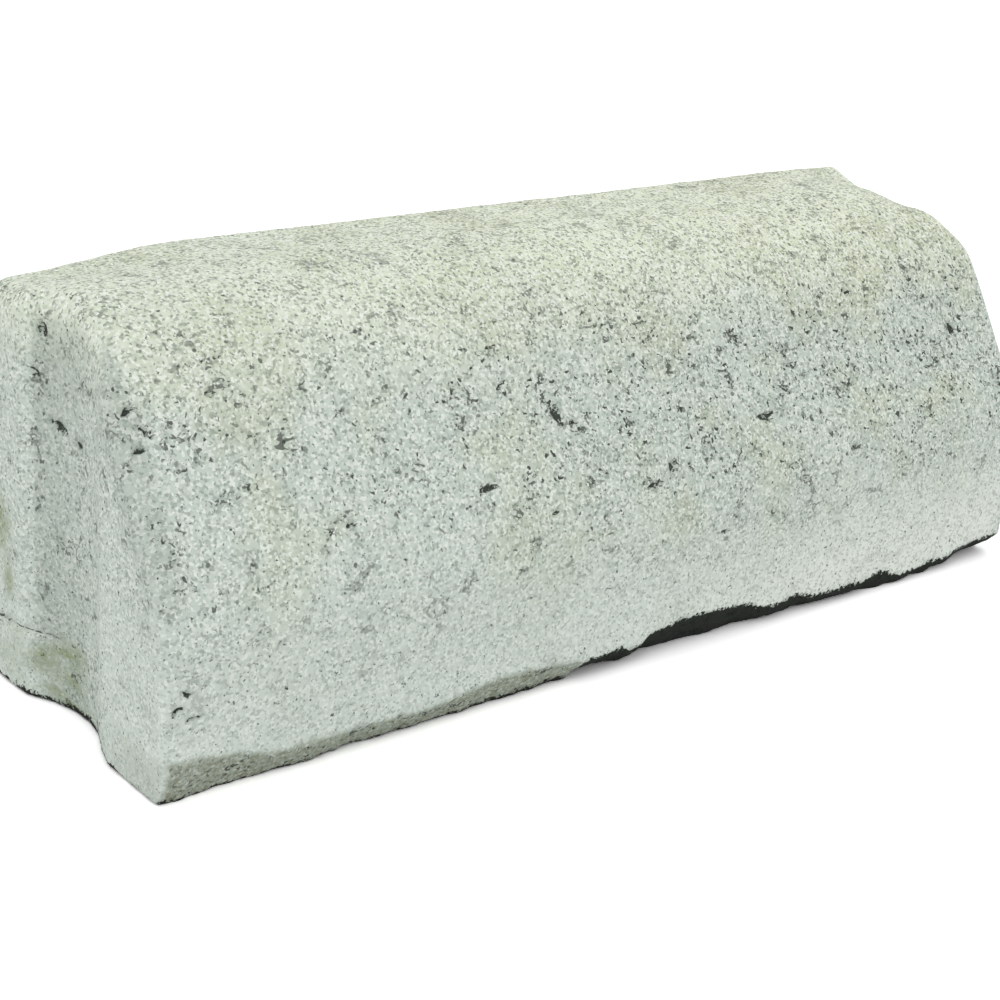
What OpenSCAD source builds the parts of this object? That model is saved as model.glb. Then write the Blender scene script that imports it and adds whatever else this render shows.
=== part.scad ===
// Precast concrete kerb stone, cast in one piece.
// The road face rises from an upright foot into a batter and rolls over a broad
// round shoulder onto the flat top. A shallow upright groove in each end takes
// the joint mortar and keys the stone to its neighbours.
// Frame: X along the kerb, Y from the road side to the back, Z up.
// The origin is the middle of the bed that the stone is laid on.

/* [Block] */
// Length of the stone along the kerb
stone_length = 700; // [450:10:1000]
// Height from the bed to the flat top
stone_height = 250; // [220:5:280]
// Width of the bed, from the road face to the back
stone_width = 210; // [185:5:320]

/* [Road face] */
// Height of the upright foot below the batter
foot_height = 110; // [85:5:140]
// Height that the batter rises above the foot
batter_rise = 90; // [75:5:125]
// Distance that the batter leans back over its rise
batter_run = 56; // [20:2:76]

/* [Arrises] */
// Radius of the long arris between the top and the back
back_arris_radius = 10; // [4:1:25]
// Radius of the four upright corners
corner_radius = 8; // [3:1:20]

/* [Joint grooves] */
// Width of the groove across the end face
groove_width = 92; // [60:2:120]
// Depth of the groove below the end face
groove_depth = 15; // [6:1:25]
// Distance of the groove's middle from the foot of the road face
groove_setback = 115; // [80:1:135]

/* [Hidden] */
$fn = 96;

// Pale grey-green of weathered concrete
concrete_colour = "#c3c4ba";

// How far one outline runs past the other where the two are intersected
overrun = 20;

// Shoulder: an arc that leaves the end of the batter and runs level into the top
batter_length = norm([batter_run, batter_rise]);
shoulder_height = stone_height - foot_height - batter_rise;
shoulder_radius = shoulder_height / (1 - batter_run / batter_length);
shoulder_start = [batter_run, foot_height + batter_rise];
shoulder_centre = [
    batter_run + shoulder_radius * batter_rise / batter_length,
    stone_height - shoulder_radius
];
shoulder_end = [shoulder_centre.x, stone_height];

// Back arris: the centre of its arc, and where the arc leaves the top and meets the back
arris_centre = [stone_width - back_arris_radius, stone_height - back_arris_radius];
arris_start = [arris_centre.x, stone_height];
arris_end = [stone_width, arris_centre.y];

// Radius of the groove's arc, from its width and depth
groove_radius = (pow(groove_width / 2, 2) + pow(groove_depth, 2)) / (2 * groove_depth);

// Slice of a disc between two points on its rim, no more than a quarter turn apart
module sector(centre, start, end) {
    intersection() {
        translate(centre) circle(r = norm(start - centre));
        polygon([centre, 2 * start - centre, 2 * end - centre]);
    }
}

// A shape in the section's plane, run along the kerb and past both ends
// In that plane x goes from the road face to the back, and y goes up
module run_along() {
    rotate([90, 0, 90])
        linear_extrude(stone_length + 2 * overrun, center = true) children();
}

// The stone's section as an endless bar: straight sides, then the two round edges
module bar() {
    run_along() polygon([
        [0, 0],
        [0, foot_height],
        shoulder_start,
        shoulder_end,
        arris_start,
        arris_end,
        [stone_width, 0]
    ]);
    run_along() sector(shoulder_centre, shoulder_start, shoulder_end);
    run_along() sector(arris_centre, arris_start, arris_end);
}

// Outline of the bed with its four round corners, x along the kerb
module bed_outline() {
    inner_length = stone_length - 2 * corner_radius;
    inner_width = stone_width - 2 * corner_radius;
    translate([-stone_length / 2, corner_radius]) square([stone_length, inner_width]);
    translate([-inner_length / 2, 0]) square([inner_length, stone_width]);
    for (end = [-1, 1], y = [corner_radius, stone_width - corner_radius])
        translate([end * inner_length / 2, y]) circle(r = corner_radius);
}

// View from above: the bed outline with the joint groove cut into each end
module plan() {
    groove_centre_x = stone_length / 2 - groove_depth + groove_radius;
    difference() {
        bed_outline();
        for (end = [-1, 1])
            translate([end * groove_centre_x, groove_setback]) circle(r = groove_radius);
    }
}

// The whole stone: the bar cut to the plan
module kerb_stone() {
    color(concrete_colour)
    translate([0, -stone_width / 2, 0])
    intersection() {
        union() bar();
        translate([0, 0, -overrun])
            linear_extrude(stone_height + 2 * overrun) plan();
    }
}

kerb_stone();
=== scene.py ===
"""Weathered concrete kerb stone, dressed around its solid and set on a plain studio stage."""

import math

import bpy
import numpy as np
from bpy.props import FloatProperty, FloatVectorProperty, IntProperty, PointerProperty
from mathutils import Matrix, Vector


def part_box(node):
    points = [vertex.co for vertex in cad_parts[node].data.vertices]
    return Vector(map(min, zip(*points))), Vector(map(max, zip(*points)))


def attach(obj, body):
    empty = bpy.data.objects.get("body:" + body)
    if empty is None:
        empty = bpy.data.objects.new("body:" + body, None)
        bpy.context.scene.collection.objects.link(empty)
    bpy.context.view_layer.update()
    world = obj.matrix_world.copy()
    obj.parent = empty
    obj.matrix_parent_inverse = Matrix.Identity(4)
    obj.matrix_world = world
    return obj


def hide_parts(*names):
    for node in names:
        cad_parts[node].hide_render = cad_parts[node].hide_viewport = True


bl_info = {
    "name": "Concrete kerb stone",
    "version": (1, 0, 0),
    "blender": (4, 5, 0),
    "location": "View3D > Sidebar > Kerb",
    "description": "Builds a weathered precast kerb stone around its solid, on a studio stage",
    "category": "Add Mesh",
}

# One millimetre in the scene's metres
MM = 0.001

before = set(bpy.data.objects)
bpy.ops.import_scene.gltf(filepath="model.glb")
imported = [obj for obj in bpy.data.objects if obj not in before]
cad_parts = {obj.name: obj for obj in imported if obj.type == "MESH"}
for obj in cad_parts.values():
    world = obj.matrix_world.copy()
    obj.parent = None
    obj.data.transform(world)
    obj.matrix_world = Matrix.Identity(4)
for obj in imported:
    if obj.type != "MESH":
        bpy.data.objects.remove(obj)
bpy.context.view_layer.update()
STONE_LOW, STONE_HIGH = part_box("kerb_stone")
STONE_LENGTH = STONE_HIGH.x - STONE_LOW.x
STONE_WIDTH = STONE_HIGH.y - STONE_LOW.y
STONE_HEIGHT = STONE_HIGH.z - STONE_LOW.z


def linear_rgb(hex_colour):
    """The linear red, green and blue of an sRGB hex colour such as #c4cdc2."""
    srgb = [int(hex_colour[i:i + 2], 16) / 255 for i in (1, 3, 5)]
    return tuple(c / 12.92 if c <= 0.04045 else ((c + 0.055) / 1.055) ** 2.4 for c in srgb)


def length(name, description, millimetres):
    """A length property, given in millimetres and held in metres."""
    return FloatProperty(
        name=name, description=description, default=millimetres * MM, unit="LENGTH", precision=4
    )


def colour(name, description, hex_colour):
    """A colour property with an sRGB hex default."""
    return FloatVectorProperty(
        name=name, description=description, default=linear_rgb(hex_colour), subtype="COLOR",
        min=0.0, max=1.0,
    )


class KerbStoneForm(bpy.types.PropertyGroup):
    """Sizes of the cast form, the same as the solid's."""

    foot_height: length("Foot height", "Height of the upright foot below the batter", 110)
    batter_rise: length("Batter rise", "Height that the batter rises above the foot", 90)
    batter_run: length("Batter run", "Distance that the batter leans back over its rise", 56)
    back_arris: length("Back arris", "Radius of the arris between the top and the back", 10)
    groove_width: length("Groove width", "Width of the joint groove across the end", 92)
    groove_depth: length("Groove depth", "Depth of the joint groove below the end", 15)
    groove_setback: length("Groove setback", "Distance of the groove's middle from the road face", 115)


class KerbStoneWear(bpy.types.PropertyGroup):
    """How far the surface has worn, all of it inwards from the cast form."""

    left_round: length("Left rounding", "Width over which the left end's arrises are worn round", 11)
    right_round: length("Right rounding", "Width over which the right end's arrises are worn round", 3)
    bend_round: length("Bend rounding", "Width over which the foot rolls into the batter", 14)
    bed_round: length("Bed rounding", "Width over which the bed's arrises are worn round", 6)
    lip_round: length("Lip rounding", "Width over which the groove's lips are worn round", 3)
    corner_sag: length("Corner sag", "Depth that the back left corner of the top has worn down", 10)
    notch_sag: length("Notch sag", "Depth of the dip worn into the top over the right groove", 12)
    sway: length("Sway", "Depth of the slow hollows left by the mould", 0.9)
    texture: length("Texture", "Depth of the open texture on the weathered faces", 0.9)
    pit_depth: length("Pit depth", "Depth of the largest pits", 4.5)
    seed: IntProperty(name="Seed", description="Starts every random pattern", default=7)


class KerbStoneFinish(bpy.types.PropertyGroup):
    """Colours of the concrete, what has settled on it, and the painted shade and shadow."""

    foot: colour("Foot", "Smooth concrete of the foot", "#d2dcd4")
    batter: colour("Batter", "Weathered concrete of the batter", "#c1ccc3")
    top: colour("Top", "Bleached concrete of the top and shoulder", "#e0e7cf")
    stain: colour("Stain", "Yellow-green bloom on the road face", "#bdc2a0")
    # Also the tint of the dirt and painted shade in the grooves and along the left arris
    dark_sand: colour("Dark sand", "Dark sand and open pores between the grains", "#7d887e")
    light_sand: colour("Light sand", "Pale sand showing at the surface", "#f3f7ef")
    pore: colour("Pore", "Dark open pores of the weathered faces", "#4c524a")
    # Also the painted shade in the pits, the voids and the crack, as well as the dark specks
    pit: colour("Pit", "Inside of the pits", "#3a3f39")
    soil: colour("Soil", "Soil on the broken edge of the bed", "#8d9280")
    moss: colour("Moss", "Green film low in the groove", "#8f9a78")
    # Also the black painted shadow, partly damp, on the broken arris and along the bed
    damp_shadow: colour("Damp", "Black damp on the broken edge and along the bed", "#1e211d")


class KerbStoneStage(bpy.types.PropertyGroup):
    """Camera and light."""

    lens: FloatProperty(name="Lens", description="Focal length in millimetres", default=72.0)
    eye: FloatVectorProperty(
        name="Eye", description="Place of the camera", default=(-0.816, -0.910, 0.545),
        subtype="TRANSLATION",
    )
    azimuth: FloatProperty(
        name="Azimuth", description="Turn of the view from the back towards the right",
        default=math.radians(40.32), subtype="ANGLE",
    )
    elevation: FloatProperty(
        name="Elevation", description="How far the view looks down",
        default=math.radians(21.17), subtype="ANGLE",
    )
    roll: FloatProperty(
        name="Roll", description="Tilt of the camera about its view",
        default=math.radians(4.0), subtype="ANGLE",
    )
    sky: FloatProperty(name="Sky", description="Strength of the soft light all round", default=0.84)
    key: FloatProperty(name="Key", description="Power of the large lamp", default=140.0, unit="POWER")


# Shared formulas

def smooth_step(low, high, value):
    """0 below low, 1 above high, and a cubic ease between them."""
    t = np.clip((value - low) / (high - low), 0.0, 1.0)
    return t * t * (3.0 - 2.0 * t)


def fade(name, value):
    """The share of a named band that a value has reached, from the table of bands."""
    return smooth_step(*FADES[name], value)


def ramp(least, most, share):
    """least where the share is 0, most where it is 1, and a straight line between them."""
    return least + (most - least) * share


def smooth_max(a, b, width):
    """The larger of a and b, with a parabolic blend where they are nearer than width."""
    h = np.maximum(width - np.abs(a - b), 0.0) / width
    return np.maximum(a, b) + h * h * width / 4.0


def lattice_random(cells, seed):
    """A repeatable random number from 0 to 1 for each whole-number lattice cell.

    The cell's numbers and the seed are multiplied by large odd numbers and their bits mixed.
    """
    mask = 0xFFFFFFFF
    mixed = cells[..., 0] * 73856093 ^ cells[..., 1] * 19349663 ^ cells[..., 2] * 83492791
    mixed = (mixed ^ seed * 374761393) & mask
    mixed = ((mixed ^ (mixed >> 13)) * 1274126177) & mask
    mixed = ((mixed ^ (mixed >> 16)) * 668265263) & mask
    return ((mixed ^ (mixed >> 15)) & 0xFFFFFF) / 0xFFFFFF


def value_noise(points, cell, seed):
    """Random values at the corners of cubic cells, eased between the eight corners; -1 to 1."""
    scaled = points / cell
    base = np.floor(scaled).astype(np.int64)
    part = scaled - base
    part = part * part * (3.0 - 2.0 * part)
    total = np.zeros(points.shape[:-1])
    for corner in np.ndindex(2, 2, 2):
        corner = np.array(corner)
        weight = np.prod(np.where(corner == 1, part, 1.0 - part), axis=-1)
        total += weight * lattice_random(base + corner, seed)
    return total * 2.0 - 1.0


def cloud_noise(points, cell, seed, octaves=3):
    """Value noise summed over octaves, each half as coarse and half as strong.

    The sum is stretched by 1.4, because it rarely comes near its limits, to about -1 to 1.
    """
    layers = [value_noise(points, cell / 2 ** i, seed + i) / 2 ** i for i in range(octaves)]
    return sum(layers) / (2.0 - 2.0 ** (1 - octaves)) * 1.4


def scattered_pits(points, cell, share, radius, stretch, seed):
    """Round hollows at random places, one in a share of the cubic cells.

    Each hollow is a bowl, 1 at its middle and 0 at its rim, with its middle well inside its
    cell. Its radius is from 0.55 to 1.45 times the given one, more often small, and it is
    longer along the stone by the stretch. The deepest of the near bowls counts.
    """
    scaled = points / np.array([stretch, 1.0, 1.0])
    base = np.floor(scaled / cell).astype(np.int64)
    depth = np.zeros(points.shape[:-1])
    for offset in np.ndindex(3, 3, 3):
        cells = base + np.array(offset) - 1
        jitter = np.stack([lattice_random(cells, seed + k) for k in range(3)], axis=-1)
        centre = (cells + ramp(0.15, 0.85, jitter)) * cell
        reach = radius * ramp(0.55, 1.45, lattice_random(cells, seed + 3) ** 2)
        bowl = 1.0 - np.sum((scaled - centre) ** 2, axis=-1) / reach ** 2
        present = lattice_random(cells, seed + 4) < share
        depth = np.maximum(depth, np.where(present, np.maximum(bowl, 0.0), 0.0))
    return depth


# The cast form and its worn surface

# Points along each stretch of the section's outline, from the back of the bed round to the back
BED_POINTS = 12
BREAK_POINTS = 16
FOOT_POINTS = 46
BATTER_POINTS = 52
SHOULDER_POINTS = 50
TOP_POINTS = 26
ARRIS_POINTS = 8
BACK_POINTS = 30

# Rings along the stone and on each end, with a close-set band beside each end arris
BODY_RINGS = 310
EDGE_RINGS = 8
LEFT_CAP_RINGS = 46
RIGHT_CAP_RINGS = 32
EDGE_BAND = 14 * MM

# Share of an end's rings that its close-set band takes, and of the height at which they close
CAP_BAND = 0.12
CAP_MIDDLE = 0.46

# The broken front arris of the bed: share along the stone, height lost, depth lost, and height
# of the black painted shadow, partly damp, that covers the broken face
BROKEN_ARRIS = (
    (0.00, 28 * MM, 10 * MM, 1.8 * MM),
    (0.06, 24 * MM, 11 * MM, 1.8 * MM),
    (0.10, 17 * MM, 11 * MM, 1.8 * MM),
    (0.26, 15 * MM, 11 * MM, 2.0 * MM),
    (0.31, 20 * MM, 12 * MM, 3.0 * MM),
    (0.41, 17 * MM, 12 * MM, 4.0 * MM),
    (0.425, 14.5 * MM, 20 * MM, 15 * MM),
    (0.450, 15 * MM, 22 * MM, 15.5 * MM),
    (0.465, 16.5 * MM, 18 * MM, 17 * MM),
    (0.475, 12 * MM, 13 * MM, 12.5 * MM),
    (0.490, 14.5 * MM, 15 * MM, 15 * MM),
    (0.500, 19.5 * MM, 18 * MM, 20 * MM),
    (0.520, 21.5 * MM, 18 * MM, 22 * MM),
    (0.535, 23.5 * MM, 17 * MM, 24 * MM),
    (0.590, 22.5 * MM, 15 * MM, 23 * MM),
    (0.625, 20 * MM, 15 * MM, 20.5 * MM),
    (0.640, 15.5 * MM, 14 * MM, 16 * MM),
    (0.665, 13.5 * MM, 14 * MM, 14 * MM),
    (0.690, 17 * MM, 12.5 * MM, 17.5 * MM),
    (0.710, 12 * MM, 12.5 * MM, 12.5 * MM),
    (0.785, 11 * MM, 12 * MM, 11.5 * MM),
    (0.810, 15 * MM, 7.5 * MM, 15.5 * MM),
    (0.840, 7.5 * MM, 7 * MM, 8 * MM),
    (0.870, 8.5 * MM, 8.5 * MM, 9 * MM),
    (0.890, 12 * MM, 7.5 * MM, 12 * MM),
    (0.905, 9 * MM, 11.5 * MM, 9.5 * MM),
    (0.930, 14 * MM, 11 * MM, 14 * MM),
    (0.970, 17 * MM, 21 * MM, 17 * MM),
    (1.000, 18 * MM, 26 * MM, 18 * MM),
)
BREAK_ROUGHNESS = 2.2 * MM
BREAK_CELL = 16 * MM
LEAST_BREAK = 3 * MM

# How far the broken face hollows in and sags, as shares of the depth and height lost
BREAK_HOLLOW = 0.12
BREAK_SAG = 0.036

# Voids on the road face: share along the stone, height above the bed, length, tilt in degrees
ROAD_VOIDS = (
    (0.36, 206 * MM, 9 * MM, 0),
    (0.36, 185 * MM, 8 * MM, 15),
    (0.41, 165 * MM, 19 * MM, -62),
    (0.425, 160 * MM, 9 * MM, 10),
    (0.335, 195 * MM, 7 * MM, 70),
    (0.31, 170 * MM, 7 * MM, -30),
    (0.32, 137 * MM, 15 * MM, 8),
    (0.38, 116 * MM, 8 * MM, 0),
    (0.18, 134 * MM, 10 * MM, 10),
    (0.107, 221 * MM, 8 * MM, 0),
    (0.09, 206 * MM, 7 * MM, -40),
    (0.02, 205 * MM, 11 * MM, 8),
    (0.03, 195 * MM, 10 * MM, -50),
    (0.02, 187 * MM, 11 * MM, 0),
    (0.05, 174 * MM, 7 * MM, 0),
    (0.745, 192 * MM, 10 * MM, -50),
    (0.70, 166 * MM, 10 * MM, -20),
    (0.715, 160 * MM, 8 * MM, 10),
    (0.65, 142 * MM, 17 * MM, 0),
    (0.60, 164 * MM, 8 * MM, 0),
    (0.52, 127 * MM, 11 * MM, 70),
    (0.495, 118 * MM, 13 * MM, 5),
    (0.58, 77 * MM, 8 * MM, 0),
    (0.725, 72 * MM, 6 * MM, 0),
    (0.80, 202 * MM, 9 * MM, -25),
    (0.95, 200 * MM, 7 * MM, 0),
    (0.935, 170 * MM, 11 * MM, 90),
    (0.85, 102 * MM, 7 * MM, 0),
    (0.014, 58 * MM, 11 * MM, 10),
    (0.026, 51 * MM, 10 * MM, 0),
    (0.022, 67 * MM, 9 * MM, -30),
)

# Voids on the left end: distance back from the road face, height, length, tilt in degrees
END_VOIDS = (
    (135 * MM, 172 * MM, 13 * MM, 20),
    (118 * MM, 165 * MM, 9 * MM, 0),
    (150 * MM, 198 * MM, 9 * MM, 70),
    (146 * MM, 224 * MM, 11 * MM, 80),
)
ROAD_SLIMNESS = 0.27
END_SLIMNESS = 0.5
FULL_VOID = 10 * MM

# Noise that makes the voids' rims ragged, and how much darker the painted shade in the voids is than in
# the pits
RIM_CELL = 7 * MM
RIM_BEND = 1.6 * MM
VOID_DARKNESS = 1.45

# Distance of the right end's worn dip from the road face
NOTCH_MIDDLE = 150 * MM

# Wear of the end arrises: how much it swings from place to place, and the share of the height
# above which the left one widens
WEAR_CELL = 45 * MM
WEAR_SWING = 0.4
RAISED_FROM = 0.75

# Width of the blend at the back arris, as a share of its radius
BACK_SOFTNESS = 1.2

# Step of the slope's differences, and rounds of Newton's method
SLOPE_STEP = 0.2 * MM
SETTLE_STEPS = 4

# Size of the noise cells of the sway, the texture and the crowding of the pits
SWAY_CELL = 110 * MM
TEXTURE_CELL = 9 * MM
CROWD_CELL = 55 * MM

# Scattered pits: size of their cells, share of the cells with one, radius and stretch
PIT_CELL = 13 * MM
PIT_SHARE = 0.45
PIT_RADIUS = 2.8 * MM
PIT_STRETCH = 1.6

# The ledge low on the left end: its height above the bed and how deep its crack goes
LEDGE_HEIGHT = 42 * MM
LEDGE_DEPTH = 2.2 * MM

# Heights over which the marks of the ledge and of the painted shadow, partly damp, run from 0 to 1,
# with the edge at 0.5
LEDGE_RAMP = 40 * MM
DAMP_SHADOW_RAMP = 16 * MM

# Noise that makes the edges of the finish, of the ledge and of the broken arris wander
DRIFT_CELL = 60 * MM
DRIFT = 12 * MM
LEDGE_CELL = 30 * MM
LEDGE_WANDER = 6 * MM
FINE_CELL = 10 * MM
BREAK_WANDER = 2.5 * MM

# Edge of the painted shadow, partly damp, off the road face: its height, how far it wanders, and
# how much lower it is on the sheltered faces
DAMP_SHADOW_EDGE = 4.6 * MM
DAMP_SHADOW_WANDER = 4.0 * MM
DAMP_SHADOW_SHELTER = 3.4 * MM

# Bleaching starts this far below the shoulder's start and is full this far below the top
BLEACH_START = 18 * MM
BLEACH_FULL = 5 * MM

# On the end's own face the dirt and painted shade of the left arris reach back this much less
ARRIS_END = 8 * MM

# Marks of the finish that the material reads from the mesh, the painted shade and shadow among them
FINISH_MARKS = (
    "weathered", "bleached", "soil", "moss", "dirt_and_shade", "above_ledge", "ledge_side", "pit", "damp_shadow",
    "washed", "bloomed",
)

# Bands over which a form or a finish fades: the value where it is 0, then where it is 1
FADES = {
    # Worn top, from the left end, the back, the right end and the middle of the dip
    "corner_run": (130 * MM, 0.0),
    "corner_depth": (90 * MM, 0.0),
    "notch_run": (60 * MM, 0.0),
    "notch_side": (62 * MM, 20 * MM),
    # Voids of the road face, behind the stone's middle plane
    "road_side": (25 * MM, 5 * MM),
    # Below an end's face, below the back, and inside a groove's near and far lips
    "end": (7 * MM, 2 * MM),
    "back": (9 * MM, 2 * MM),
    "near_lip": (1 * MM, 4 * MM),
    "far_lip": (7.5 * MM, 10 * MM),
    # Weathering up from the foot's top, then three kinds of wear as shares along the stone
    "weathered_up": (-98 * MM, 40 * MM),
    "weathered_run": (0.1, 0.85),
    "bleached_run": (0.0, 0.7),
    "washed_run": (0.3, 0.75),
    # Dirt and painted shade on the left arris: from the end, behind the batter, and up the stone
    "arris_run": (25 * MM, 13 * MM),
    "arris_depth": (28 * MM, 16 * MM),
    "arris_foot": (90 * MM, 130 * MM),
    "arris_top": (248 * MM, 240 * MM),
    # Broken arris: above its edge, back from the road face, and its soil along the stone
    "broken_up": (2.5 * MM, -2.5 * MM),
    "broken_depth": (60 * MM, 40 * MM),
    "soil_run": (0.44, 0.40),
    # The middle of the bed, left out of the painted shadow: up from the bed, and in from its rim
    "bed_up": (0.8 * MM, 0.2 * MM),
    "bed_rim": (30 * MM, 60 * MM),
    # Moss below the ledge and on the strip behind the groove
    "under_ledge": (5 * MM, -5 * MM),
    "moss_depth": (100 * MM, 132 * MM),
    "strip_up": (50 * MM, 65 * MM),
    "strip_top": (125 * MM, 105 * MM),
    "strip_depth": (166 * MM, 176 * MM),
    # Dirt and painted shade in the grooves: below the top, towards the far wall, and where it is
    # thickest
    "dirt_and_shade_down": (8 * MM, 30 * MM),
    "far_wall": (-30 * MM, 30 * MM),
    "dirt_and_shade_high": (165 * MM, 205 * MM),
    "dirt_and_shade_low": (95 * MM, 70 * MM),
    # The ledge's crack, back from the road face and beside its line as a share of its ramp
    "ledge_depth": (130 * MM, 146 * MM),
    "crack": (0.06, 0.02),
    # The flat of the bed, and the noise at which pits crowd
    "on_bed": (6 * MM, 1 * MM),
    "crowded": (-0.6, 0.5),
}


def shoulder_arc(form):
    """Radius and centre, from the road face and the bed, of the arc that rolls into the top."""
    slope = math.hypot(form.batter_run, form.batter_rise)
    rise = STONE_HEIGHT - form.foot_height - form.batter_rise
    radius = rise / (1.0 - form.batter_run / slope)
    return radius, form.batter_run + radius * form.batter_rise / slope, STONE_HEIGHT - radius


def batter_distance(across, height, form):
    """Signed distance to the batter's plane, positive on its road side."""
    slope = math.hypot(form.batter_run, form.batter_rise)
    return (form.batter_run * (height - form.foot_height) - form.batter_rise * across) / slope


def groove_depth(across, form, lip_round):
    """How deep the joint groove is at a distance back from the road face.

    The groove is a circular arc. The softened larger of that arc and zero rounds its lips.
    Distances are held just inside the arc's circle, where its root is real.
    """
    half = form.groove_width / 2
    radius = (half ** 2 + form.groove_depth ** 2) / (2 * form.groove_depth)
    offset = np.clip(np.abs(across - form.groove_setback), 0.0, radius * 0.98)
    arc = form.groove_depth - radius + np.sqrt(radius ** 2 - offset ** 2)
    return smooth_max(arc, 0.0, lip_round)


def span(start, end, count):
    """Evenly spaced shares from start up to, but not including, end."""
    return start + (end - start) * np.arange(count) / count


def section_outline(along, form, seed):
    """Outline of the section, as distance from the road face and height above the bed.

    It has a row for each place along the stone and runs along the bed to the front, up the
    broken arris, the foot, the batter and the shoulder, back over the top and down the back.
    The broken arris follows its table, with noise that roughens its edge.
    """
    share = along / STONE_LENGTH + 0.5
    places, heights, depths, _ = np.array(BROKEN_ARRIS).T
    line = np.stack([along, np.zeros_like(along), np.zeros_like(along)], axis=-1)
    rough = cloud_noise(line, BREAK_CELL, seed + 40, 4) * BREAK_ROUGHNESS
    lost_height = np.maximum(np.interp(share, places, heights) + rough, LEAST_BREAK)[:, None]
    lost_depth = np.interp(share, places, depths)[:, None] + rough[:, None]
    ones = np.ones_like(along)[:, None]
    radius, centre_y, centre_z = shoulder_arc(form)
    arris_y = STONE_WIDTH - form.back_arris
    arris_z = STONE_HEIGHT - form.back_arris
    lean = math.atan2(form.batter_run, form.batter_rise)
    roll = span(math.pi - lean, math.pi / 2, SHOULDER_POINTS)
    turn = span(math.pi / 2, 0.0, ARRIS_POINTS)
    bed = span(0.0, 1.0, BED_POINTS)
    broken = span(0.0, 1.0, BREAK_POINTS)
    foot = span(0.0, 1.0, FOOT_POINTS)
    batter = span(0.0, 1.0, BATTER_POINTS)
    top = span(0.0, 1.0, TOP_POINTS)
    back = span(0.0, 1.0, BACK_POINTS)
    bow = np.sin(math.pi * broken)
    across = [
        STONE_WIDTH + (lost_depth - STONE_WIDTH) * bed,
        lost_depth * (1.0 - broken - bow * BREAK_HOLLOW),
        ones * 0.0 * foot,
        ones * form.batter_run * batter,
        ones * (centre_y + radius * np.cos(roll)),
        ones * (centre_y + (arris_y - centre_y) * top),
        ones * (arris_y + form.back_arris * np.cos(turn)),
        ones * (STONE_WIDTH + 0.0 * back),
    ]
    height = [
        ones * 0.0 * bed,
        lost_height * (broken - bow * BREAK_SAG),
        lost_height + (form.foot_height - lost_height) * foot,
        ones * (form.foot_height + form.batter_rise * batter),
        ones * (centre_z + radius * np.sin(roll)),
        ones * (STONE_HEIGHT + 0.0 * top),
        ones * (arris_z + form.back_arris * np.sin(turn)),
        ones * (arris_z * (1.0 - back)),
    ]
    return np.concatenate(across, axis=1), np.concatenate(height, axis=1)


def closing_rings(count):
    """Shares from just inside an end's arris down to just short of the middle of the end."""
    close = span(1.0, 1.0 - CAP_BAND, EDGE_RINGS)[1:]
    return np.concatenate([close, span(1.0 - CAP_BAND, 0.0, count - EDGE_RINGS + 1)])


def cast_grid(form, wear):
    """The cast form as a grid: rings along the stone by points round the section.

    The rings are the section's outline. Between the ends they lie at even shares of the
    length, which the groove shortens. On an end they shrink towards its middle, and each
    point lies on the end's face or in its groove. A last point closes each end.
    """
    half = STONE_LENGTH / 2
    band = EDGE_BAND / half
    along_share = np.concatenate([
        span(-1.0, band - 1.0, EDGE_RINGS),
        span(band - 1.0, 1.0 - band, BODY_RINGS),
        1.0 - band + band * np.linspace(0.0, 1.0, EDGE_RINGS),
    ])
    left = closing_rings(LEFT_CAP_RINGS)[::-1]
    right = closing_rings(RIGHT_CAP_RINGS)
    ring_share = np.concatenate([-np.ones_like(left), along_share, np.ones_like(right)])
    shrink = np.concatenate([left, np.ones_like(along_share), right])[:, None]
    across, height = section_outline(ring_share * half, form, wear.seed)
    middle_y, middle_z = form.groove_setback, STONE_HEIGHT * CAP_MIDDLE
    across = middle_y + (across - middle_y) * shrink
    height = middle_z + (height - middle_z) * shrink
    along = ring_share[:, None] * (half - groove_depth(across, form, wear.lip_round))
    grid = np.stack([along, across - STONE_WIDTH / 2, height], axis=-1)
    reach = half - groove_depth(np.array([middle_y]), form, wear.lip_round)[0]
    poles = np.array([
        [end * reach, middle_y - STONE_WIDTH / 2, middle_z] for end in (-1, 1)
    ])
    return np.concatenate([grid.reshape(-1, 3), poles]), grid.shape[:2]


def worn_top(along, across, wear):
    """Depth that the top has sunk: an eased slope at the back left corner, and a dip over the
    middle of the right end that fades along the stone."""
    corner = fade("corner_run", STONE_LENGTH / 2 + along) * fade("corner_depth", STONE_WIDTH - across)
    notch = fade("notch_run", STONE_LENGTH / 2 - along)
    notch *= fade("notch_side", np.abs(across - NOTCH_MIDDLE))
    return corner * wear.corner_sag + notch * wear.notch_sag


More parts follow.
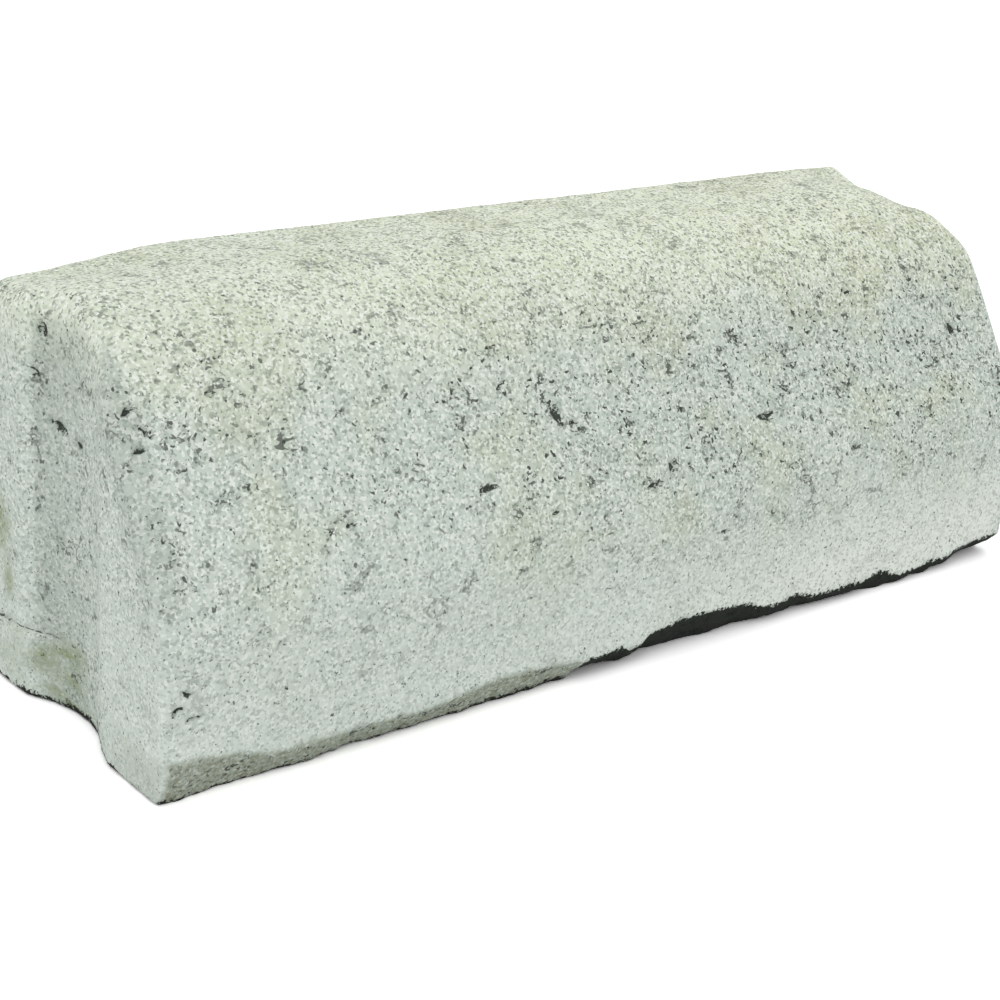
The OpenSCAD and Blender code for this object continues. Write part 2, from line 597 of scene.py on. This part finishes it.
def worn_distance(points, form, wear):
    """Signed distance to the worn stone, positive outside it.

    It is the softened largest of the distances to the faces: the section's faces with the
    shoulder's arc and the sunken top, then the two ends with their grooves.
    """
    along, across, height = points[..., 0], points[..., 1] + STONE_WIDTH / 2, points[..., 2]
    radius, centre_y, centre_z = shoulder_arc(form)
    batter = batter_distance(across, height, form)
    from_y, from_z = across - centre_y, height - centre_z
    up_batter = form.batter_run * from_y + form.batter_rise * from_z
    rolled = np.where(
        (up_batter > 0.0) & (from_y < 0.0), np.hypot(from_y, from_z) - radius,
        np.maximum(batter, height - STONE_HEIGHT),
    )
    rolled = rolled + worn_top(along, across, wear)
    section = smooth_max(-across, rolled, wear.bend_round)
    section = smooth_max(section, across - STONE_WIDTH, form.back_arris * BACK_SOFTNESS)
    ends = np.abs(along) - STONE_LENGTH / 2 + groove_depth(across, form, wear.lip_round)
    raised = smooth_step(RAISED_FROM * STONE_HEIGHT, STONE_HEIGHT, height)
    worn = 1.0 + WEAR_SWING * value_noise(points, WEAR_CELL, wear.seed + 20)
    left_width = wear.left_round * (worn + raised)
    block = smooth_max(section, ends, np.where(along < 0.0, left_width, wear.right_round * worn))
    return smooth_max(block, -height, wear.bed_round)


def outward(points, form, wear):
    """Slope of the signed distance at each point, by central differences."""
    shifts = np.eye(3) * SLOPE_STEP
    slopes = [
        worn_distance(points + s, form, wear) - worn_distance(points - s, form, wear) for s in shifts
    ]
    return np.stack(slopes, axis=-1) / (2 * SLOPE_STEP)


def settle(points, form, wear):
    """Moves the points that lie outside the worn stone onto it, by Newton's method."""
    for _ in range(SETTLE_STEPS):
        over = np.maximum(worn_distance(points, form, wear), 0.0)
        slope = outward(points, form, wear)
        points = points - over[:, None] * slope / np.sum(slope ** 2, axis=-1, keepdims=True)
    return points


def ellipse_depth(across, up, places, slimness):
    """Deepest of a table of ellipses, each a bowl in the plane of across and up.

    A bowl is 1 at its middle and 0 at its rim, and shallower where the ellipse is short.
    """
    depth = np.zeros_like(up)
    for middle, height, long_way, tilt in places:
        turn = math.radians(tilt)
        x, z = across - middle, up - height
        u = (x * math.cos(turn) + z * math.sin(turn)) / (long_way / 2)
        v = (z * math.cos(turn) - x * math.sin(turn)) / (long_way / 2 * slimness)
        bowl = np.maximum(1.0 - u * u - v * v, 0.0)
        depth = np.maximum(depth, np.sqrt(bowl) * min(long_way / FULL_VOID, 1.0))
    return depth


def void_depth(points, left_end, seed):
    """Voids of the two tables, bent by noise so that their rims are ragged."""
    wobble = np.stack([cloud_noise(points, RIM_CELL, seed + k) for k in range(3)], axis=-1)
    bent = points + wobble * RIM_BEND
    share = bent[:, 0] / STONE_LENGTH + 0.5
    places = [(s * STONE_LENGTH, height, size, tilt) for s, height, size, tilt in ROAD_VOIDS]
    front = fade("road_side", points[..., 1]) * (1.0 - left_end)
    road = ellipse_depth(share * STONE_LENGTH, bent[:, 2], places, ROAD_SLIMNESS)
    end = ellipse_depth(bent[:, 1] + STONE_WIDTH / 2, bent[:, 2], END_VOIDS, END_SLIMNESS)
    return np.maximum(road * front, end * left_end)


def end_masks(along, across, form, wear):
    """Shares that lie on the left end, on the right end and between the lips of a groove."""
    groove = groove_depth(across, form, wear.lip_round)
    left_end = fade("end", STONE_LENGTH / 2 + along - groove)
    right_end = fade("end", STONE_LENGTH / 2 - along - groove)
    half, from_middle = form.groove_width / 2, across - form.groove_setback
    in_groove = fade("near_lip", half + from_middle) * fade("far_lip", half - from_middle)
    return left_end, right_end, in_groove


def left_arris_mask(along, across, height, left_end, form):
    """Share that lies on the worn arris between the left end and the road face.

    It fades out away from the end, behind the batter's plane, below the batter and near the top.
    """
    behind = ARRIS_END * left_end - batter_distance(across, height, form)
    mask = fade("arris_run", STONE_LENGTH / 2 + along) * fade("arris_depth", behind)
    return mask * fade("arris_foot", height) * fade("arris_top", height)


def damp_shadow_mark(along, across, height, front_height, at_front, sheltered, fine):
    """Black painted shadow, partly damp, along the bed's rim, for the contact shadow: 1 at the bed,
    0.5 at its edge and 0 above it.

    On the road face the edge follows the broken arris, whose face it paints as shadow.
    Elsewhere it wanders a few millimetres above the bed, lower on the sheltered faces. The
    middle of the bed is left out.
    """
    edge = DAMP_SHADOW_EDGE + DAMP_SHADOW_WANDER * fine - DAMP_SHADOW_SHELTER * sheltered
    edge += (front_height - edge) * at_front
    rim = np.minimum(np.minimum(across, STONE_WIDTH - across), STONE_LENGTH / 2 - np.abs(along))
    unmarked = fade("bed_up", height) * fade("bed_rim", rim)
    return np.clip(0.5 + (edge - height) / DAMP_SHADOW_RAMP, 0.0, 1.0) * (1.0 - unmarked)


def moss_mark(across, height, ledge, left_end, in_groove, fine):
    """Moss on the left end: below the ledge, mostly in the groove, and on the strip behind it."""
    below = fade("under_ledge", height - ledge) * fade("moss_depth", across) * ramp(0.25, 1.0, in_groove)
    strip = fade("strip_up", height) * fade("strip_top", height) * fade("strip_depth", across)
    return np.clip(left_end * np.maximum(below, 0.5 * strip) * (0.85 + 1.5 * fine), 0.0, 1.0)


def groove_dirt_and_shade_mark(across, height, drift, in_groove, form):
    """Dirt and painted shade in a groove, darker where the recess would be in shade: it starts
    below the top, lies mostly on the far wall, and is thinner half way up."""
    thick = fade("dirt_and_shade_high", height) + fade("dirt_and_shade_low", height)
    dirt_and_shade = in_groove * fade("dirt_and_shade_down", STONE_HEIGHT - height - 0.5 * drift)
    return dirt_and_shade * ramp(0.15, 1.0, fade("far_wall", across - form.groove_setback)) * ramp(0.7, 1.0, thick)


def surface_marks(points, form, wear):
    """Where each kind of finish lies, as a share for every point: 0 or less for none of it, and
    1 or more for all.

    Weathering grows with height and towards the right end, and bleaching over the shoulder.
    Soil and the black painted shadow, partly damp, follow the broken arris, and moss, dirt with
    painted shade and the ledge belong to the ends.
    Noise makes the edges wander.
    """
    seed = wear.seed
    along, across, height = points[..., 0], points[..., 1] + STONE_WIDTH / 2, points[..., 2]
    drift = cloud_noise(points, DRIFT_CELL, seed + 50) * DRIFT
    fine = cloud_noise(points, FINE_CELL, seed + 53)
    ledge = LEDGE_HEIGHT + value_noise(points, LEDGE_CELL, seed + 57) * LEDGE_WANDER
    share = along / STONE_LENGTH + 0.5
    places, heights, _, damp_shadow_heights = np.array(BROKEN_ARRIS).T
    left_end, right_end, in_groove = end_masks(along, across, form, wear)
    left_arris = left_arris_mask(along, across, height, left_end, form)
    sheltered = np.maximum(right_end, fade("back", STONE_WIDTH - across))
    near_front = fade("broken_depth", across)
    edge = np.interp(share, places, heights) - BREAK_WANDER * fine
    broken = fade("broken_up", height - edge) * near_front
    weathered = fade("weathered_up", height + 2.2 * drift - form.foot_height)
    weathered *= ramp(0.82, 1.22, fade("weathered_run", share)) * ramp(1.0, 0.7, left_end)
    weathered = np.maximum(weathered, 0.65 * left_end * in_groove)
    weathered = ramp(weathered, 0.40 + 0.24 * drift / DRIFT, sheltered)
    weathered = np.maximum(weathered, 0.9 * broken * (1.0 - left_end))
    bleach_start = form.foot_height + form.batter_rise - BLEACH_START
    bleached = smooth_step(bleach_start, STONE_HEIGHT - BLEACH_FULL, height + 0.6 * drift)
    # Along the left arris the bleaching is halved, which paints shade there with the arris's dirt
    bleached *= ramp(0.64, 1.0, fade("bleached_run", share)) * ramp(1.0, 0.5, left_arris)
    # Grooves darkened partly as dirt and partly as the painted shade of the recess
    dirt_and_shade = np.maximum(left_end, right_end) * groove_dirt_and_shade_mark(across, height, drift, in_groove, form)
    front_height = np.interp(share, places, damp_shadow_heights)
    at_front = near_front * (1.0 - right_end)
    return {
        "weathered": weathered,
        "bleached": bleached,
        "washed": fade("washed_run", share) * (1.0 - weathered) * (1.0 - sheltered),
        "bloomed": weathered * (1.0 - left_end) * (1.0 - sheltered),
        "soil": broken * ramp(1.0, 0.25, left_end) * fade("soil_run", share),
        # Black painted shadow, partly damp, on the broken arris and along the bed's rim
        "damp_shadow": damp_shadow_mark(along, across, height, front_height, at_front, sheltered, fine),
        "moss": moss_mark(across, height, ledge, left_end, in_groove, fine),
        # The left arris gets the same darkening, partly dirt and partly painted shade
        "dirt_and_shade": np.maximum(dirt_and_shade, 0.7 * left_arris),
        "above_ledge": np.clip(0.5 + (height - ledge) / LEDGE_RAMP, 0.0, 1.0),
        "ledge_side": left_end * fade("ledge_depth", across),
        "left_end": left_end,
    }


def relief(points, marks, wear):
    """Depth worn below the rounded form, and how dark the shade painted into its pits and voids is.

    The depth adds a slow sway, an open texture that is deeper on the weathered faces,
    scattered pits that crowd in places, the voids of the tables, and the crack along the
    ledge. On the flat of the bed only a tenth of it is left.
    """
    seed = wear.seed
    sway = (cloud_noise(points, SWAY_CELL, seed + 1) * 0.5 + 0.5) * wear.sway
    texture = np.clip(cloud_noise(points, TEXTURE_CELL, seed + 5) * 0.5 + 0.5, 0.0, 1.2)
    texture *= wear.texture * ramp(0.3, 1.0, marks["weathered"])
    pits = scattered_pits(points, PIT_CELL, PIT_SHARE, PIT_RADIUS, PIT_STRETCH, seed + 17)
    pits *= 0.7 * ramp(0.1, 1.0, marks["weathered"]) * ramp(1.0, 0.4, marks["bleached"])
    pits *= fade("crowded", value_noise(points, CROWD_CELL, seed + 29))
    voids = void_depth(points, marks["left_end"], seed + 23)
    crack = fade("crack", np.abs(marks["above_ledge"] - 0.5)) * marks["ledge_side"]
    depth = sway + texture + np.maximum(pits, voids) * wear.pit_depth + crack * LEDGE_DEPTH
    depth *= ramp(1.0, 0.1, fade("on_bed", points[..., 2]))
    return depth, np.maximum(pits, voids * VOID_DARKNESS)


def grid_faces(rings, around):
    """Quads between neighbouring rings, closed round the section, and a fan at each end."""
    index = np.arange(rings * around).reshape(rings, around)
    beside = np.roll(index, -1, axis=1)
    quads = np.stack([index[:-1], index[1:], beside[1:], beside[:-1]], axis=-1).reshape(-1, 4)
    left = np.full(around, rings * around)
    right = left + 1
    fans = np.concatenate([
        np.stack([left, index[0], beside[0]], axis=-1),
        np.stack([right, beside[-1], index[-1]], axis=-1),
    ])
    return quads.tolist() + fans.tolist()


def stone_mesh(form, wear):
    """The worn stone as one closed mesh, with its finish marks as point attributes."""
    points, (rings, around) = cast_grid(form, wear)
    points = settle(points, form, wear)
    normals = outward(points, form, wear)
    normals /= np.linalg.norm(normals, axis=-1, keepdims=True)
    marks = surface_marks(points, form, wear)
    depth, marks["pit"] = relief(points, marks, wear)
    points = points - normals * depth[:, None]
    points[:, 2] = np.maximum(points[:, 2], 0.0)
    mesh = bpy.data.meshes.new("weathered_kerb_stone")
    mesh.from_pydata(points.tolist(), [], grid_faces(rings, around))
    mesh.polygons.foreach_set("use_smooth", np.ones(len(mesh.polygons), dtype=bool))
    for name in FINISH_MARKS:
        attribute = mesh.attributes.new(name, "FLOAT", "POINT")
        attribute.data.foreach_set("value", marks[name].astype(np.float32))
    mesh.update()
    return mesh


# The finish

def add_node(tree, kind, settings, inputs):
    """Adds a node, sets its own settings, and sets or links its inputs."""
    node = tree.nodes.new(kind)
    for name, value in settings.items():
        setattr(node, name, value)
    for socket, value in inputs.items():
        if isinstance(value, bpy.types.NodeSocket):
            tree.links.new(value, node.inputs[socket])
        else:
            node.inputs[socket].default_value = value
    return node


# Sizes of the concrete's patterns, from single grains to stains
# Most real sand is finer and would not show in the render, so it is drawn as coarse as this
SAND_GRAIN = 1.6 * MM
GRIT = 2.8 * MM
PORE_RUN = 11 * MM
CLUMP = 18 * MM
MOTTLE = 36 * MM
BLOOM = 60 * MM

# Torn marks: size of a mark, size of the noise that tears it, and how far that moves it
TEAR = 2.0 * MM
TEAR_CELL = 4.5 * MM
TEAR_BEND = 7.2 * MM

# Height and strength of the grit's bumps, and roughness of the matt surface
BUMP_HEIGHT = 0.8 * MM
BUMP_STRENGTH = 0.6
MATT = 0.93

# Pores are drawn out along the stone, as the mould was filled in that direction
PORE_STRETCH = (0.6, 1.0, 1.0)


def concrete_material(finish):
    """Weathered cast concrete: sand of several tones, open pores, bloom, soil and moss, with
    shade painted into the pits, voids, crack, grooves and left arris, and a black painted
    shadow, partly damp, along the bed and on the broken arris.

    The cement skin has worn off the upper faces, so sand of 1 to 2 mm shows there as pale
    and dark grains, with short torn dark marks and strings of open pores between them. The
    foot has kept more of its skin, so it is smoother. The surface is matt all over.
    """
    material = bpy.data.materials.new("Weathered cast concrete")
    material.use_nodes = True
    tree = material.node_tree
    tree.nodes.clear()
    place = add_node(tree, "ShaderNodeTexCoord", {}, {}).outputs["Object"]
    drawn = add_node(tree, "ShaderNodeVectorMath", {"operation": "MULTIPLY"}, {
        0: place, 1: PORE_STRETCH}).outputs[0]
    value = {}
    # Marks that the mesh carries
    for name in FINISH_MARKS:
        value[name] = add_node(tree, "ShaderNodeAttribute", {"attribute_name": name}, {}).outputs["Fac"]
    # Clouds of several sizes
    for name, vector, size, detail, roughness, distortion in (
        ("grit", place, GRIT, 3.0, 0.7, 0.0),
        ("pore", drawn, PORE_RUN, 1.0, 0.50, 0.3),
        ("clump", place, CLUMP, 3.0, 0.6, 0.0),
        ("mottle", place, MOTTLE, 4.0, 0.6, 0.0),
        ("bloom", place, BLOOM, 3.0, 0.55, 0.0),
    ):
        value[name] = add_node(tree, "ShaderNodeTexNoise", {}, {
            "Vector": vector, "Scale": 1 / size, "Detail": detail, "Roughness": roughness,
            "Distortion": distortion}).outputs["Fac"]
    # Cells with random tones: grains of sand, and marks that noise has torn out of shape
    grain = add_node(tree, "ShaderNodeTexVoronoi", {"feature": "F1"}, {
        "Vector": place, "Scale": 1 / SAND_GRAIN}).outputs["Color"]
    grain = add_node(tree, "ShaderNodeSeparateColor", {}, {0: grain})
    wander = add_node(tree, "ShaderNodeTexNoise", {}, {
        "Vector": place, "Scale": 1 / TEAR_CELL, "Detail": 2.0}).outputs["Color"]
    bent = add_node(tree, "ShaderNodeVectorMath", {"operation": "MULTIPLY_ADD"}, {
        0: wander, 1: (TEAR_BEND,) * 3, 2: place}).outputs[0]
    torn = add_node(tree, "ShaderNodeTexVoronoi", {"feature": "F1"}, {
        "Vector": bent, "Scale": 1 / TEAR}).outputs["Color"]
    torn = add_node(tree, "ShaderNodeSeparateColor", {}, {0: torn})
    for name, channels, index in (
        ("grain", grain, 0),
        ("glint", grain, 1),
        ("tear", torn, 0),
        ("speck", torn, 1),
    ):
        value[name] = channels.outputs[index]
    # Lines where a pattern passes its middle
    for name, source, middle, reach in (
        ("pore_line", "pore", 0.5, 0.045),
        ("ledge_line", "above_ledge", 0.5, 0.020),
    ):
        value[name] = add_node(tree, "ShaderNodeMath", {"operation": "COMPARE"}, {
            0: value[source], 1: middle, 2: reach}).outputs[0]
    # Patterns raised where another is strong, so that they crowd or fray there
    for name, source, weight, base in (
        ("clumped_tear", "clump", 0.17, "tear"),
        ("clumped_speck", "clump", 0.12, "speck"),
        ("crowded_tear", "weathered", 0.10, "clumped_tear"),
        ("crowded_speck", "weathered", 0.04, "clumped_speck"),
        ("ragged_pit", "grit", 4.5, "pit"),
        ("ragged_damp_shadow", "grit", 0.9, "damp_shadow"),
    ):
        value[name] = add_node(tree, "ShaderNodeMath", {"operation": "MULTIPLY_ADD"}, {
            0: value[source], 1: weight, 2: value[base]}).outputs[0]
    # Shares from least to most, as a pattern goes from low to high
    for name, source, low, high, least, most in (
        ("skin_worn", "weathered", 0.0, 1.0, 0.55, 0.78),
        ("sun_worn", "bleached", 0.0, 1.0, 1.0, 1.22),
        ("dark_share", "grain", 0.55, 0.0, 0.0, 0.78),
        ("light_share", "glint", 0.45, 1.0, 0.0, 0.80),
        ("tear_share", "crowded_tear", 1.125, 1.150, 0.0, 0.64),
        ("speck_share", "crowded_speck", 1.074, 1.084, 0.0, 0.95),
        ("string_there", "clump", 0.56, 0.62, 0.0, 0.9),
        ("string_dots", "grain", 0.42, 0.48, 0.0, 1.0),
        ("pore_zone", "weathered", 0.0, 1.0, 0.20, 1.0),
        ("pore_fade", "bleached", 0.0, 1.0, 1.0, 0.6),
        ("mottle_share", "mottle", 0.46, 0.70, 0.0, 0.20),
        ("bloom_share", "bloom", 0.42, 0.74, 0.0, 0.50),
        ("dirt_and_shade_share", "dirt_and_shade", 0.0, 1.0, 0.0, 0.31),
        ("washed_share", "washed", 0.0, 1.0, 0.0, 0.55),
        ("pit_shade_share", "ragged_pit", 2.80, 3.10, 0.0, 0.95),
        ("crack_dots", "glint", 0.40, 0.60, 0.0, 0.9),
        ("film_share", "grain", 0.15, 0.85, 0.35, 1.0),
        ("damp_shadow_share", "ragged_damp_shadow", 0.93, 0.99, 0.0, 0.97),
        ("shine", "damp_shadow_share", 0.0, 1.0, 0.25, 0.05),
    ):
        value[name] = add_node(tree, "ShaderNodeMapRange", {"interpolation_type": "SMOOTHSTEP"}, {
            "Value": value[source], "From Min": low, "From Max": high, "To Min": least,
            "To Max": most}).outputs["Result"]
    # One share within another
    for name, first, second in (
        ("open_face", "skin_worn", "sun_worn"),
        ("dark_layer", "dark_share", "open_face"),
        ("light_layer", "light_share", "open_face"),
        ("pore_there", "pore_zone", "pore_fade"),
        ("tear_layer", "tear_share", "pore_there"),
        ("speck_layer", "speck_share", "pore_there"),
        ("string_open", "pore_line", "string_there"),
        ("string_dotted", "string_open", "string_dots"),
        ("string_layer", "string_dotted", "pore_there"),
        ("mottle_layer", "mottle_share", "open_face"),
        ("bloom_layer", "bloom_share", "bloomed"),
        ("soil_layer", "soil", "film_share"),
        ("moss_layer", "moss", "film_share"),
        ("crack_line", "ledge_line", "ledge_side"),
        ("crack_shade_layer", "crack_line", "crack_dots"),
    ):
        value[name] = add_node(tree, "ShaderNodeMath", {"operation": "MULTIPLY"}, {
            0: value[first], 1: value[second]}).outputs[0]
    # Colours laid over the foot's in this order, by the mix node's colour inputs 6 and 7
    body = (*finish.foot, 1.0)
    for name, tint in (
        ("washed_share", finish.light_sand),
        ("weathered", finish.batter),
        ("bleached", finish.top),
        ("bloom_layer", finish.stain),
        ("mottle_layer", finish.dark_sand),
        ("dark_layer", finish.dark_sand),
        ("light_layer", finish.light_sand),
        # Dirt with painted shade in the grooves and along the left arris
        ("dirt_and_shade_share", finish.dark_sand),
        ("soil_layer", finish.soil),
        ("moss_layer", finish.moss),
        ("tear_layer", finish.pore),
        ("string_layer", finish.pore),
        ("speck_layer", finish.pit),
        # Painted shade in the pits and voids
        ("pit_shade_share", finish.pit),
        # Painted shade along the crack of the ledge
        ("crack_shade_layer", finish.pit),
        # Black painted shadow, partly damp, on the broken arris and along the bed
        ("damp_shadow_share", finish.damp_shadow),
    ):
        body = add_node(tree, "ShaderNodeMix", {"data_type": "RGBA"}, {
            0: value[name], 6: body, 7: (*tint, 1.0)}).outputs[2]
    rough = add_node(tree, "ShaderNodeMath", {"operation": "SUBTRACT"}, {
        0: value["grit"], 1: value["tear_layer"]})
    bump = add_node(tree, "ShaderNodeBump", {}, {
        "Height": rough.outputs[0], "Strength": BUMP_STRENGTH, "Distance": BUMP_HEIGHT})
    shader = add_node(tree, "ShaderNodeBsdfPrincipled", {}, {
        "Base Color": body, "Roughness": MATT, "IOR": 1.5, "Specular IOR Level": value["shine"],
        "Normal": bump.outputs["Normal"]})
    add_node(tree, "ShaderNodeOutputMaterial", {}, {"Surface": shader.outputs["BSDF"]})
    return material


class KERB_OT_weather_stone(bpy.types.Operator):
    """Builds the weathered stone over its solid."""

    bl_idname = "kerb.weather_stone"
    bl_label = "Weathered stone"

    def execute(self, context):
        scene = context.scene
        mesh = stone_mesh(scene.kerb_form, scene.kerb_wear)
        mesh.materials.append(concrete_material(scene.kerb_finish))
        stone = bpy.data.objects.new("weathered_kerb_stone", mesh)
        scene.collection.objects.link(stone)
        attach(stone, "root")
        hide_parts("kerb_stone")
        return {"FINISHED"}


# The stage

# Side of the floor in metres, how pale its paper is to the light, and how white to the camera
FLOOR_SIZE = 30.0
FLOOR_PALE = 0.8
FLOOR_SEEN = 1.55

# Large lamp: its side and distance in metres, and its direction from the stone
KEY_SIZE = 4.6
KEY_DISTANCE = 8.0
KEY_FROM = Vector((-0.55, -0.55, 1.0)).normalized()

# Camera: width of its sensor in millimetres, and the nearest that it sees in metres
SENSOR_WIDTH = 36.0
NEAREST = 0.05

WHITE = (1.0, 1.0, 1.0, 1.0)


def seen_rays(tree):
    """1 for the rays that the camera sees directly, in gloss or through glass, else 0."""
    path = add_node(tree, "ShaderNodeLightPath", {}, {})
    straight = add_node(tree, "ShaderNodeMath", {"operation": "MAXIMUM"}, {
        0: path.outputs["Is Camera Ray"], 1: path.outputs["Is Glossy Ray"]})
    return add_node(tree, "ShaderNodeMath", {"operation": "MAXIMUM"}, {
        0: straight.outputs[0], 1: path.outputs["Is Transmission Ray"]}).outputs[0]


def floor_material():
    """White studio paper: pale to the light, and so white to the camera that only the dark of
    the shadow under the stone shows on it."""
    material = bpy.data.materials.new("White studio paper")
    material.use_nodes = True
    tree = material.node_tree
    tree.nodes.clear()
    paper = add_node(tree, "ShaderNodeBsdfDiffuse", {}, {"Color": (*(FLOOR_PALE,) * 3, 1.0)})
    white = add_node(tree, "ShaderNodeBsdfDiffuse", {}, {"Color": (*(FLOOR_SEEN,) * 3, 1.0)})
    shown = add_node(tree, "ShaderNodeMixShader", {}, {
        0: seen_rays(tree), 1: paper.outputs[0], 2: white.outputs[0]})
    add_node(tree, "ShaderNodeOutputMaterial", {}, {"Surface": shown.outputs[0]})
    return material


def studio_floor():
    """A flat square of paper under the stone, from two parameters that run across it."""
    edge = np.linspace(-FLOOR_SIZE / 2, FLOOR_SIZE / 2, 2)
    x, y = np.meshgrid(edge, edge)
    points = np.stack([x, y, np.full_like(x, STONE_LOW.z)], axis=-1).reshape(-1, 3)
    mesh = bpy.data.meshes.new("studio_floor")
    mesh.from_pydata(points.tolist(), [], [(0, 1, 3, 2)])
    mesh.materials.append(floor_material())
    return bpy.data.objects.new("studio_floor", mesh)


def studio_sky(scene, strength):
    """Soft white light from all round, which the camera sees as plain white."""
    scene.world = bpy.data.worlds.new("Studio sky")
    scene.world.use_nodes = True
    tree = scene.world.node_tree
    tree.nodes.clear()
    light = add_node(tree, "ShaderNodeBackground", {}, {"Color": WHITE, "Strength": strength})
    white = add_node(tree, "ShaderNodeBackground", {}, {"Color": WHITE})
    mixed = add_node(tree, "ShaderNodeMixShader", {}, {
        0: seen_rays(tree), 1: light.outputs[0], 2: white.outputs[0]})
    add_node(tree, "ShaderNodeOutputWorld", {}, {"Surface": mixed.outputs[0]})


def key_lamp(power):
    """A large square lamp above the front left."""
    lamp = bpy.data.lights.new("key_lamp", "AREA")
    lamp.energy = power
    lamp.size = KEY_SIZE
    holder = bpy.data.objects.new("key_lamp", lamp)
    aim = Vector((0.0, 0.0, STONE_HEIGHT / 2))
    holder.location = aim + KEY_FROM * KEY_DISTANCE
    holder.rotation_euler = KEY_FROM.to_track_quat("Z", "Y").to_euler()
    return holder


def photo_camera(stage):
    """A camera that looks along the azimuth and down the elevation, then rolls about its view."""
    azimuth, elevation, roll = stage.azimuth, stage.elevation, stage.roll
    forward = Vector((
        math.sin(azimuth) * math.cos(elevation),
        math.cos(azimuth) * math.cos(elevation),
        -math.sin(elevation),
    ))
    level = Vector((math.cos(azimuth), -math.sin(azimuth), 0.0))
    down = forward.cross(level)
    right = level * math.cos(roll) - down * math.sin(roll)
    up = -(level * math.sin(roll) + down * math.cos(roll))
    camera = bpy.data.cameras.new("photo_camera")
    camera.lens = stage.lens
    camera.sensor_width = SENSOR_WIDTH
    camera.clip_start = NEAREST
    holder = bpy.data.objects.new("photo_camera", camera)
    turned = Matrix((right, up, -forward)).transposed().to_4x4()
    holder.matrix_world = Matrix.Translation(Vector(stage.eye)) @ turned
    return holder


class KERB_OT_set_stage(bpy.types.Operator):
    """Sets the floor, the light and the camera."""

    bl_idname = "kerb.set_stage"
    bl_label = "Studio stage"

    def execute(self, context):
        scene = context.scene
        floor = studio_floor()
        camera = photo_camera(scene.kerb_stage)
        for thing in (floor, key_lamp(scene.kerb_stage.key), camera):
            scene.collection.objects.link(thing)
        studio_sky(scene, scene.kerb_stage.sky)
        scene.camera = camera
        scene.view_settings.view_transform = "Standard"
        return {"FINISHED"}


class KERB_PT_sidebar(bpy.types.Panel):
    """Sizes, finish and stage of the kerb stone."""

    bl_idname = "KERB_PT_sidebar"
    bl_label = "Concrete kerb stone"
    bl_space_type = "VIEW_3D"
    bl_region_type = "UI"
    bl_category = "Kerb"

    def draw(self, context):
        layout = self.layout
        layout.operator(KERB_OT_weather_stone.bl_idname)
        layout.operator(KERB_OT_set_stage.bl_idname)
        for name in SETTINGS:
            group = getattr(context.scene, name)
            box = layout.box()
            for key in group.__annotations__:
                box.prop(group, key)


SETTINGS = {
    "kerb_form": KerbStoneForm,
    "kerb_wear": KerbStoneWear,
    "kerb_finish": KerbStoneFinish,
    "kerb_stage": KerbStoneStage,
}
CLASSES = (*SETTINGS.values(), KERB_OT_weather_stone, KERB_OT_set_stage, KERB_PT_sidebar)


def register():
    for item in CLASSES:
        bpy.utils.register_class(item)
    for name, group in SETTINGS.items():
        setattr(bpy.types.Scene, name, PointerProperty(type=group))


def unregister():
    for name in SETTINGS:
        delattr(bpy.types.Scene, name)
    for item in reversed(CLASSES):
        bpy.utils.unregister_class(item)


def main():
    register()
    bpy.ops.kerb.weather_stone()
    bpy.ops.kerb.set_stage()


if __name__ == "__main__":
    main()
